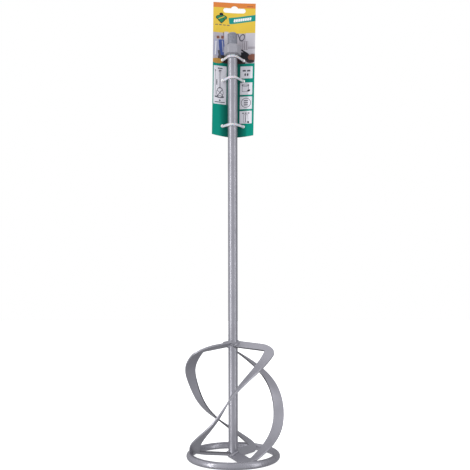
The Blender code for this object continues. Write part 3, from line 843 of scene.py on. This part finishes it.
def blade_stations():
    """(outer, inner, normal) along the first blade, from its upper root to its lower root."""
    upper, lower = blade_arms()
    pairs = [upper.straight(i / ARM_STEPS, 1) for i in range(ARM_STEPS)]
    pairs += [upper.bend(i / CORNER_STEPS, 1) for i in range(CORNER_STEPS + 1)]
    tail = [lower.bend(i / CORNER_STEPS, -1) for i in range(CORNER_STEPS, -1, -1)]
    tail += [lower.straight(i / ARM_STEPS, -1) for i in range(ARM_STEPS - 1, -1, -1)]
    top, foot = pairs[-1], tail[0]
    for i in range(1, WEB_STEPS):
        pairs.append([web_point(top[k], foot[k], i / WEB_STEPS) for k in range(2)])
    pairs += tail
    stations = []
    for i, (outer, inner) in enumerate(pairs):
        before = pairs[max(i - 1, 0)]
        after = pairs[min(i + 1, len(pairs) - 1)]
        along = (after[0] + after[1]) - (before[0] + before[1])
        stations.append((outer, inner, along.cross(outer - inner).normalized()))
    return stations


def strip_profile():
    """(side, inset, height) round the strip's section. side is 1 at its outer edge and -1 at its inner."""
    radius = BLADE_EDGE_RADIUS
    flat = BLADE_THICKNESS / 2 - radius
    corner = []
    for i in range(4):
        a = math.radians(30 * i)
        corner.append((radius - radius * math.sin(a), flat + radius * math.cos(a)))
    corner.insert(0, (radius + 0.4 * MM, BLADE_THICKNESS / 2))
    corner.insert(0, (BLADE_WIDTH * 0.3, BLADE_THICKNESS / 2))
    upper_outer = [(1, inset, height) for inset, height in corner]
    lower_outer = [(1, inset, -height) for inset, height in reversed(corner)]
    upper_inner = [(-1, inset, height) for inset, height in reversed(corner)]
    lower_inner = [(-1, inset, -height) for inset, height in corner]
    return upper_outer + lower_outer + lower_inner + upper_inner


def blade_mesh():
    profile = strip_profile()
    sections, marks = [], []
    length = 0.0
    previous = None
    for outer, inner, normal in blade_stations():
        middle = (outer + inner) / 2
        reach = (outer - inner).normalized()
        half = (outer - inner).length / 2
        if previous:
            length += (middle - previous).length
        previous = middle
        section = []
        for side, inset, height in profile:
            section.append(middle + reach * side * (half - inset) + normal * height)
        sections.append(section)
        crossing = [inset if side > 0 else BLADE_WIDTH - inset for side, inset, _ in profile]
        marks.append([(across / MM, length / MM) for across in crossing])
    mesh = loft("spiral_blade", sections, marks=marks, smooth_degrees=35)
    mesh.uv_layers[0].name = "marks"
    core = turned("core", [(ROOT_CUT_RADIUS, -0.01), (ROOT_CUT_RADIUS, 0.2)], ROUND_SIDES)
    return boolean_result(mesh, [core], "spiral_blade_painted", 35)


# Weld beads


def bead_into(shape, path, radius, seed):
    """A rippled rod of weld metal along a path, with rounded ends."""
    sections = []
    length = sum((b - a).length for a, b in zip(path, path[1:]))
    for i, point in enumerate(path):
        along = (path[min(i + 1, len(path) - 1)] - path[max(i - 1, 0)]).normalized()
        first = along.orthogonal().normalized()
        second = along.cross(first)
        share = i / (len(path) - 1)
        ends = max(0.12, 1 - abs(2 * share - 1) ** 5) ** 0.5
        ripple = 1 + 0.07 * math.sin(2 * math.pi * share * length / RIPPLE_PITCH)
        section = []
        for j in range(BEAD_SIDES):
            a = 2 * math.pi * j / BEAD_SIDES
            side = math.cos(a) * first + math.sin(a) * second
            lump = noise.noise((point + side * radius) * 420 + Vector((seed, 0, 0)))
            section.append(point + side * radius * ends * (ripple + 0.22 * lump))
        sections.append(section)
    loft_into(shape, sections)


def spatter_into(shape, places):
    """Small beads of weld metal stuck round a joint."""
    for point, radius in places:
        matrix = Matrix.Translation(point)
        bmesh.ops.create_uvsphere(shape, u_segments=10, v_segments=6, radius=radius, matrix=matrix)


def root_path(arm, side):
    """Where one face of an arm's strip (side 1 the upper, -1 the lower) meets the shaft."""
    across_axis = Vector((-arm.out.y, arm.out.x, 0))
    lift = side * (BLADE_THICKNESS / 2 + 0.5 * MM) * arm.face
    path = []
    for i in range(BEAD_STEPS + 1):
        offset = (i / BEAD_STEPS - 0.5) * (BLADE_WIDTH - 1.6 * MM) * arm.down + lift
        sideways = offset.dot(across_axis)
        reach = math.sqrt(max((TUBE_RADIUS + 0.5 * MM) ** 2 - sideways**2, 0.0)) - offset.dot(arm.out)
        path.append(arm.centre(reach) + offset)
    return path


def root_bead_mesh(name, arm, seed):
    shape = bmesh.new()
    bead_into(shape, root_path(arm, 1), BEAD_RADIUS, seed)
    bead_into(shape, root_path(arm, -1), BEAD_RADIUS * 0.75, seed + 5)
    draw = random.Random(seed)
    spots = []
    for _ in range(7):
        angle = math.atan2(arm.out.y, arm.out.x) + draw.uniform(-0.7, 0.7)
        z = arm.centre(TUBE_RADIUS).z + draw.uniform(4, 14) * MM
        spots.append((polar(TUBE_RADIUS, angle, z), draw.uniform(0.25, 0.6) * MM))
    for _ in range(6):
        base = arm.centre(draw.uniform(11, 20) * MM) + draw.uniform(-5, 5) * MM * arm.down
        spots.append((base + arm.face * BLADE_THICKNESS / 2, draw.uniform(0.2, 0.5) * MM))
    spatter_into(shape, spots)
    return finish_mesh(name, shape, 60)


def ring_path():
    """Where the underside of the first blade's lower corner meets the ring."""
    path = []
    first = ARM_STEPS + CORNER_STEPS + WEB_STEPS
    for outer, inner, normal in blade_stations()[first : first + CORNER_STEPS - 3]:
        down = -normal if normal.z > 0 else normal
        lift = down * (BLADE_THICKNESS / 2 + 0.3 * MM)
        for step in range(121):
            touch = inner.lerp(outer, step / 120) + lift
            radial = math.hypot(touch.x, touch.y) - RING_RADIUS
            if math.hypot(radial, touch.z - RING_BAR_RADIUS) < RING_BAR_RADIUS + 0.3 * MM:
                path.append(touch)
                break
    return path


def ring_bead_mesh():
    shape = bmesh.new()
    bead_into(shape, ring_path(), RING_BEAD_RADIUS, RING_SEED)
    return finish_mesh("ring_weld_bead", shape, 60)


# Card


def card_depth(z):
    """Depth of the middle of the stock along the bend: against the tube, then clear of the hex collar."""
    tube = TUBE_RADIUS + GAP + CARD_THICKNESS / 2
    collar = HEX_CORNER_RADIUS + GAP + CARD_THICKNESS / 2
    return tube + (collar - tube) * max(0.0, z - CARD_CONTACT_Z) / (HEX_FOOT_Z - CARD_CONTACT_Z)


def card_point(x, y, z):
    """Bends and tilts a point of the flat card, y being its depth from the middle of the stock."""
    down = (CARD_TOP_Z - min(z, CARD_TOP_Z)) / (CARD_TOP_Z - CARD_BOTTOM_Z)
    slope = CARD_SLOPE_TOP + (CARD_SLOPE_BOTTOM - CARD_SLOPE_TOP) * (1 - (1 - down) ** 2)
    middle = (CARD_TOP_Z + CARD_BOTTOM_Z) / 2
    across = x / math.sqrt(1 + slope**2)
    depth = card_depth(z) - slope * (math.hypot(across, CARD_RIDGE) - CARD_RIDGE) + y
    tilted_x = CARD_OFFSET_X + across * math.cos(CARD_ROLL) + (z - middle) * math.sin(CARD_ROLL)
    tilted_z = middle + (z - middle) * math.cos(CARD_ROLL) - across * math.sin(CARD_ROLL)
    return Vector((tilted_x, depth, tilted_z))


def flat_card_mesh():
    """The flat card as a fine plate, with its lower edge cut to a shallow curve."""
    columns, rows = 48, 96
    shape = bmesh.new()
    sheets = []
    for side in (-1, 1):
        sheet = []
        for i in range(rows + 1):
            line = []
            for j in range(columns + 1):
                x = (j / columns - 0.5) * CARD_WIDTH
                foot = CARD_BOTTOM_Z - CARD_BOTTOM_SAG * (1 - (2 * x / CARD_WIDTH) ** 2)
                z = foot + (CARD_TOP_Z - foot) * i / rows
                line.append(shape.verts.new((x, side * CARD_THICKNESS / 2, z)))
            sheet.append(line)
        sheets.append(sheet)
    for sheet in sheets:
        for i in range(rows):
            for j in range(columns):
                near, far = sheet[i], sheet[i + 1]
                shape.faces.new((near[j], near[j + 1], far[j + 1], far[j]))
    rim = [(0, j) for j in range(columns)] + [(i, columns) for i in range(rows)]
    rim += [(rows, j) for j in range(columns, 0, -1)] + [(i, 0) for i in range(rows, 0, -1)]
    front, back = sheets
    for (i, j), (a, b) in zip(rim, rim[1:] + rim[:1]):
        shape.faces.new((front[i][j], front[a][b], back[a][b], back[i][j]))
    return finish_mesh("card_blank", shape, 40)


def prism(outline):
    """An outline of (x, z) points, extruded through the card."""
    depth = 4 * MM
    return loft("prism", [[Vector((x, y, z)) for x, z in outline] for y in (-depth, depth)])


def arc(centre, radius, start, end, steps):
    points = []
    for i in range(steps + 1):
        a = start + (end - start) * i / steps
        points.append((centre[0] + radius * math.cos(a), centre[1] + radius * math.sin(a)))
    return points


def slot_outline():
    """Hanging slot: a round-ended bar with a rounded bump in the middle of its upper edge."""
    end = SLOT_HEIGHT / 2
    reach = SLOT_WIDTH / 2 - end
    low = math.asin((end - SLOT_BUMP_LIFT) / SLOT_BUMP_RADIUS)
    quarter = math.pi / 2
    outline = arc((reach, SLOT_Z), end, -quarter, quarter, 16)
    outline += arc((0, SLOT_Z + SLOT_BUMP_LIFT), SLOT_BUMP_RADIUS, low, math.pi - low, 16)
    return outline + arc((-reach, SLOT_Z), end, quarter, 3 * quarter, 16)


def card_mesh():
    """Cuts the slot and holes into the flat card, marks its print, then bends it round the shaft."""
    tools = [prism(slot_outline())]
    holes = []
    for height, shift in TIE_LEVELS.values():
        for side in (-1, 1):
            holes.append((side * TIE_HOLE_X + shift, height))
            tools.append(prism(arc(holes[-1], TIE_HOLE_RADIUS, 0, 2 * math.pi * 27 / 28, 27)))
    mesh = boolean_result(flat_card_mesh(), tools, "hang_card_printed")
    looks = [card_front(), card_back(), card_edge()]
    mesh.materials.clear()
    for look in looks:
        mesh.materials.append(look)
    layer = mesh.uv_layers.new(name="marks")
    for face in mesh.polygons:
        face.material_index = 2 if abs(face.normal.y) < 0.5 else int(face.normal.y > 0)
        for index in face.loop_indices:
            flat = mesh.vertices[mesh.loops[index].vertex_index].co
            layer.data[index].uv = (flat.x / MM, flat.z / MM)
    for vertex in mesh.vertices:
        x, y, z = vertex.co
        wave = 0.12 * MM * math.sin(x / (9 * MM)) * math.sin(z / (31 * MM))
        pull = sum(math.exp(-((x - hx) ** 2 + (z - hz) ** 2) / (4.5 * MM) ** 2) for hx, hz in holes)
        vertex.co = card_point(x, y + wave - 0.25 * MM * pull, z)
    mesh.set_sharp_from_angle(angle=math.radians(50))
    return mesh


# Cable ties


def tie_half(hole, side):
    """Centre line of one half of a strap, from the front of the shaft to the head behind the card."""
    radius = TUBE_RADIUS + GAP + TIE_THICKNESS / 2
    x, y = abs(hole.x), hole.y
    leave = math.atan2(y, x) - math.acos(radius / math.hypot(x, y))
    points = arc((0.0, 0.0), radius, -math.pi / 2, leave, 20)
    along = Vector((x - points[-1][0], y - points[-1][1])).normalized()
    points.append((x - 1.2 * MM * along.x, y - 1.2 * MM * along.y))
    start = Vector((x, y)) + 0.6 * MM * along
    bend = 1.3 * MM
    heading = math.atan2(along.y, along.x)
    centre = start + bend * Vector((-along.y, along.x))
    points += arc(centre, bend, heading - math.pi / 2, math.radians(82), 14)
    return [(side * px, py) for px, py in points]


def strap_section(middle, aside, high):
    """A strap's section with rounded edges, aside being half its thickness."""
    up = Vector((0, 0, high / 2))
    corner = ((1.0, 0.72), (0.72, 0.93), (0.3, 1.0), (-0.3, 1.0), (-0.72, 0.93), (-1.0, 0.72))
    section = [middle + a * aside + b * up for a, b in corner]
    return section + [middle - a * aside - b * up for a, b in corner]


def rounded_box_into(shape, centre, size, radius):
    matrix = Matrix.Translation(centre) @ Matrix.Diagonal((*size, 1.0))
    made = bmesh.ops.create_cube(shape, size=1.0, matrix=matrix)
    edges = {edge for vertex in made["verts"] for edge in vertex.link_edges}
    bmesh.ops.bevel(shape, geom=list(edges), offset=radius, segments=3, profile=0.5, affect="EDGES")


def tie_mesh(level):
    """A strap looped round the shaft and through the card, with its head and tail behind the card."""
    height, shift = TIE_LEVELS[level]
    holes = {side: card_point(side * TIE_HOLE_X + shift, 0.0, height) for side in (-1, 1)}
    z = (holes[-1].z + holes[1].z) / 2
    head_long, head_deep, _ = TIE_HEAD
    back = card_depth(height) + CARD_THICKNESS / 2 + GAP + head_deep / 2
    inside = head_long / 2 - 0.8 * MM
    left_half = tie_half(holes[-1], -1)[::-1][:-1]
    stations = tie_half(holes[1], 1) + [(inside, back), (-inside, back)] + left_half
    sections = []
    for i, (x, y) in enumerate(stations):
        ahead = stations[(i + 1) % len(stations)]
        behind = stations[i - 1]
        along = Vector((ahead[0] - behind[0], ahead[1] - behind[1])).normalized()
        aside = Vector((along.y, -along.x, 0)) * TIE_THICKNESS / 2
        sections.append(strap_section(Vector((x, y, z)), aside, TIE_WIDTH))
    shape = bmesh.new()
    loft_into(shape, sections, closed_path=True)
    rounded_box_into(shape, Vector((0, back, z)), TIE_HEAD, 0.6 * MM)
    tail = Vector((-0.6 * MM, back + head_deep / 2, z))
    rounded_box_into(shape, tail, (TIE_THICKNESS * 1.1, 2.6 * MM, TIE_WIDTH), 0.15 * MM)
    return finish_mesh(f"tie_strap_{level}", shape, 45)


# Assembly


def build_shaft():
    weld = weld_paint("silver_paint_weld", 0.38)
    kinds = (
        ("shaft_tube_painted", tube_mesh(), "grey_paint", "shaft_tube", shaft_paint()),
        ("spindle_adapter_painted", adapter_mesh(), "turned_steel", "spindle_adapter", adapter_paint()),
        ("collar_weld_bead", collar_bead_mesh(), "weld_paint", "adapter_weld", weld),
    )
    for name, mesh, slot, node, look in kinds:
        add_piece(name, mesh, "paddle", [node], look)
    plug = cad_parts["foot_plug"]
    plug.data.materials.clear()
    plug.data.materials.append(weld)
    return weld


def build_basket(weld):
    add_piece("base_ring_bar", ring_mesh(), "paddle", ["base_ring"], ring_paint())
    upper, lower = blade_arms()
    paint = blade_paint()
    # The ring welds get more of the dark: painted shade of the gap where each blade meets the ring.
    ring_weld = weld_paint("weld_paint_with_painted_shade", 0.56)
    blade = blade_mesh()
    ring_bead = ring_bead_mesh()
    for i in range(BLADE_COUNT):
        turn = Matrix.Rotation(2 * math.pi * i / BLADE_COUNT, 4, "Z")
        hub_bead = root_bead_mesh("hub", upper, HUB_SEED + i)
        foot_bead = root_bead_mesh("foot", lower, FOOT_SEED + i)
        kinds = (
            ("spiral_blade_strip", blade.copy(), "grey_paint", "spiral_blade", paint),
            ("hub_weld_bead", hub_bead, "weld_paint", "hub_weld", weld),
            ("foot_weld_bead", foot_bead, "weld_paint", "foot_weld", weld),
            ("ring_weld_bead", ring_bead.copy(), "weld_paint", "ring_weld", ring_weld),
        )
        for name, mesh, slot, node, look in kinds:
            mesh.transform(turn)
            add_piece(f"{name}_{i + 1}", mesh, "paddle", [f"{node}_{i + 1}"], look)


def build_card():
    """The card and its ties, turned a little about the shaft."""
    yaw = Matrix.Rotation(CARD_YAW, 4, "Z")
    card = card_mesh()
    card.transform(yaw)
    add_piece("hang_card_printed", card, "card", ["hang_card"])
    look = nylon()
    for level in TIE_LEVELS:
        mesh = tie_mesh(level)
        mesh.transform(yaw)
        add_piece(f"tie_strap_{level}", mesh, "card", [f"cable_tie_{level}"], look)


# Camera, floor and light


def build_camera():
    data = bpy.data.cameras.new("camera")
    data.sensor_width = SENSOR_WIDTH
    data.lens = SENSOR_WIDTH / CAMERA_FIELD
    data.shift_x, data.shift_y = CAMERA_SHIFT
    data.clip_start, data.clip_end = 0.02, 60.0
    camera = bpy.data.objects.new("camera", data)
    camera.location = CAMERA_PLACE
    camera.rotation_euler = (math.pi / 2, CAMERA_ROLL, 0.0)
    bpy.context.scene.collection.objects.link(camera)
    bpy.context.scene.camera = camera


def build_floor():
    """A pale, self-lit floor, hidden from bounced light so that the paint's dark bands stay dark."""
    corners = [(FLOOR_HALF * x, FLOOR_HALF * y, 0) for x, y in ((-1, -1), (1, -1), (1, 1), (-1, 1))]
    mesh = bpy.data.meshes.new("floor")
    mesh.from_pydata(corners, [], [(0, 1, 2, 3)])
    floor = add_object("floor", mesh)
    graph = Graph("pale_floor")
    graph.surface(base_color=(0.86, 0.86, 0.86), roughness=0.9)
    graph.surface(emission_color=(1.0, 1.0, 1.0), emission_strength=FLOOR_GLOW)
    mesh.materials.append(graph.material)
    floor.visible_diffuse = False
    floor.visible_glossy = False
    floor.visible_shadow = False


def add_softbox(name, azimuth, distance, size, power):
    """A level area light. Azimuth 0 is the camera's side, and positive is to its right."""
    turn = math.radians(azimuth)
    away = Vector((math.sin(turn), -math.cos(turn), 0.0))
    data = bpy.data.lights.new(name, "AREA")
    data.shape = "RECTANGLE"
    data.size, data.size_y = size
    data.energy = power
    light = bpy.data.objects.new(name, data)
    light.location = LIGHT_AIM + away * distance
    light.rotation_euler = (-away).to_track_quat("-Z", "Y").to_euler()
    bpy.context.scene.collection.objects.link(light)


def add_overhead():
    """A broad overhead light, which brings the whole floor up to white."""
    data = bpy.data.lights.new("overhead", "SUN")
    data.energy = 0.45
    data.angle = math.radians(70)
    light = bpy.data.objects.new("overhead", data)
    light.rotation_euler = (math.radians(-12), math.radians(-10), 0)
    bpy.context.scene.collection.objects.link(light)


def build_world():
    """White behind everything, and soft light that is strongest from BRIGHT_SIDE."""
    world = bpy.data.worlds.new("studio")
    bpy.context.scene.world = world
    world.use_nodes = True
    tree = world.node_tree
    tree.nodes.clear()
    new, link = tree.nodes.new, tree.links.new
    toward = new("ShaderNodeVectorMath")
    toward.operation = "DOT_PRODUCT"
    toward.inputs[1].default_value = BRIGHT_SIDE
    link(new("ShaderNodeTexCoord").outputs["Generated"], toward.inputs[0])
    rise = new("ShaderNodeMapRange")
    rise.interpolation_type = "SMOOTHSTEP"
    for name, value in (("From Min", -0.7), ("From Max", 0.7), ("To Min", 0.36), ("To Max", 0.80)):
        rise.inputs[name].default_value = value
    link(toward.outputs["Value"], rise.inputs["Value"])
    lit = new("ShaderNodeBackground")
    lit.inputs["Color"].default_value = (0.95, 0.96, 1.0, 1)
    link(rise.outputs[0], lit.inputs["Strength"])
    seen = new("ShaderNodeBackground")
    seen.inputs["Color"].default_value = (1, 1, 1, 1)
    mix = new("ShaderNodeMixShader")
    link(new("ShaderNodeLightPath").outputs["Is Camera Ray"], mix.inputs[0])
    link(lit.outputs[0], mix.inputs[1])
    link(seen.outputs[0], mix.inputs[2])
    link(mix.outputs[0], new("ShaderNodeOutputWorld").inputs["Surface"])


def build_light():
    add_softbox("key_strip", -57, 1.3, (0.10, 2.4), 12.5)
    add_softbox("fill_right", 57, 1.3, (0.30, 2.4), 6.5)
    add_overhead()
    build_world()
    bpy.context.scene.view_settings.view_transform = "Standard"


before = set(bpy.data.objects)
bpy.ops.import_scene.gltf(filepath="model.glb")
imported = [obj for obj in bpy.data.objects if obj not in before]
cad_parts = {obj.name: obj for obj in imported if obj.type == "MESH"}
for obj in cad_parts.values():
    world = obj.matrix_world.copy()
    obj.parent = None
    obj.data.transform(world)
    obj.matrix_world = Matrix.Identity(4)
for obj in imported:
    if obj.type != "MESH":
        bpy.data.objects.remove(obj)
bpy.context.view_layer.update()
build_camera()
build_floor()
build_light()
weld = build_shaft()
build_basket(weld)
build_card()
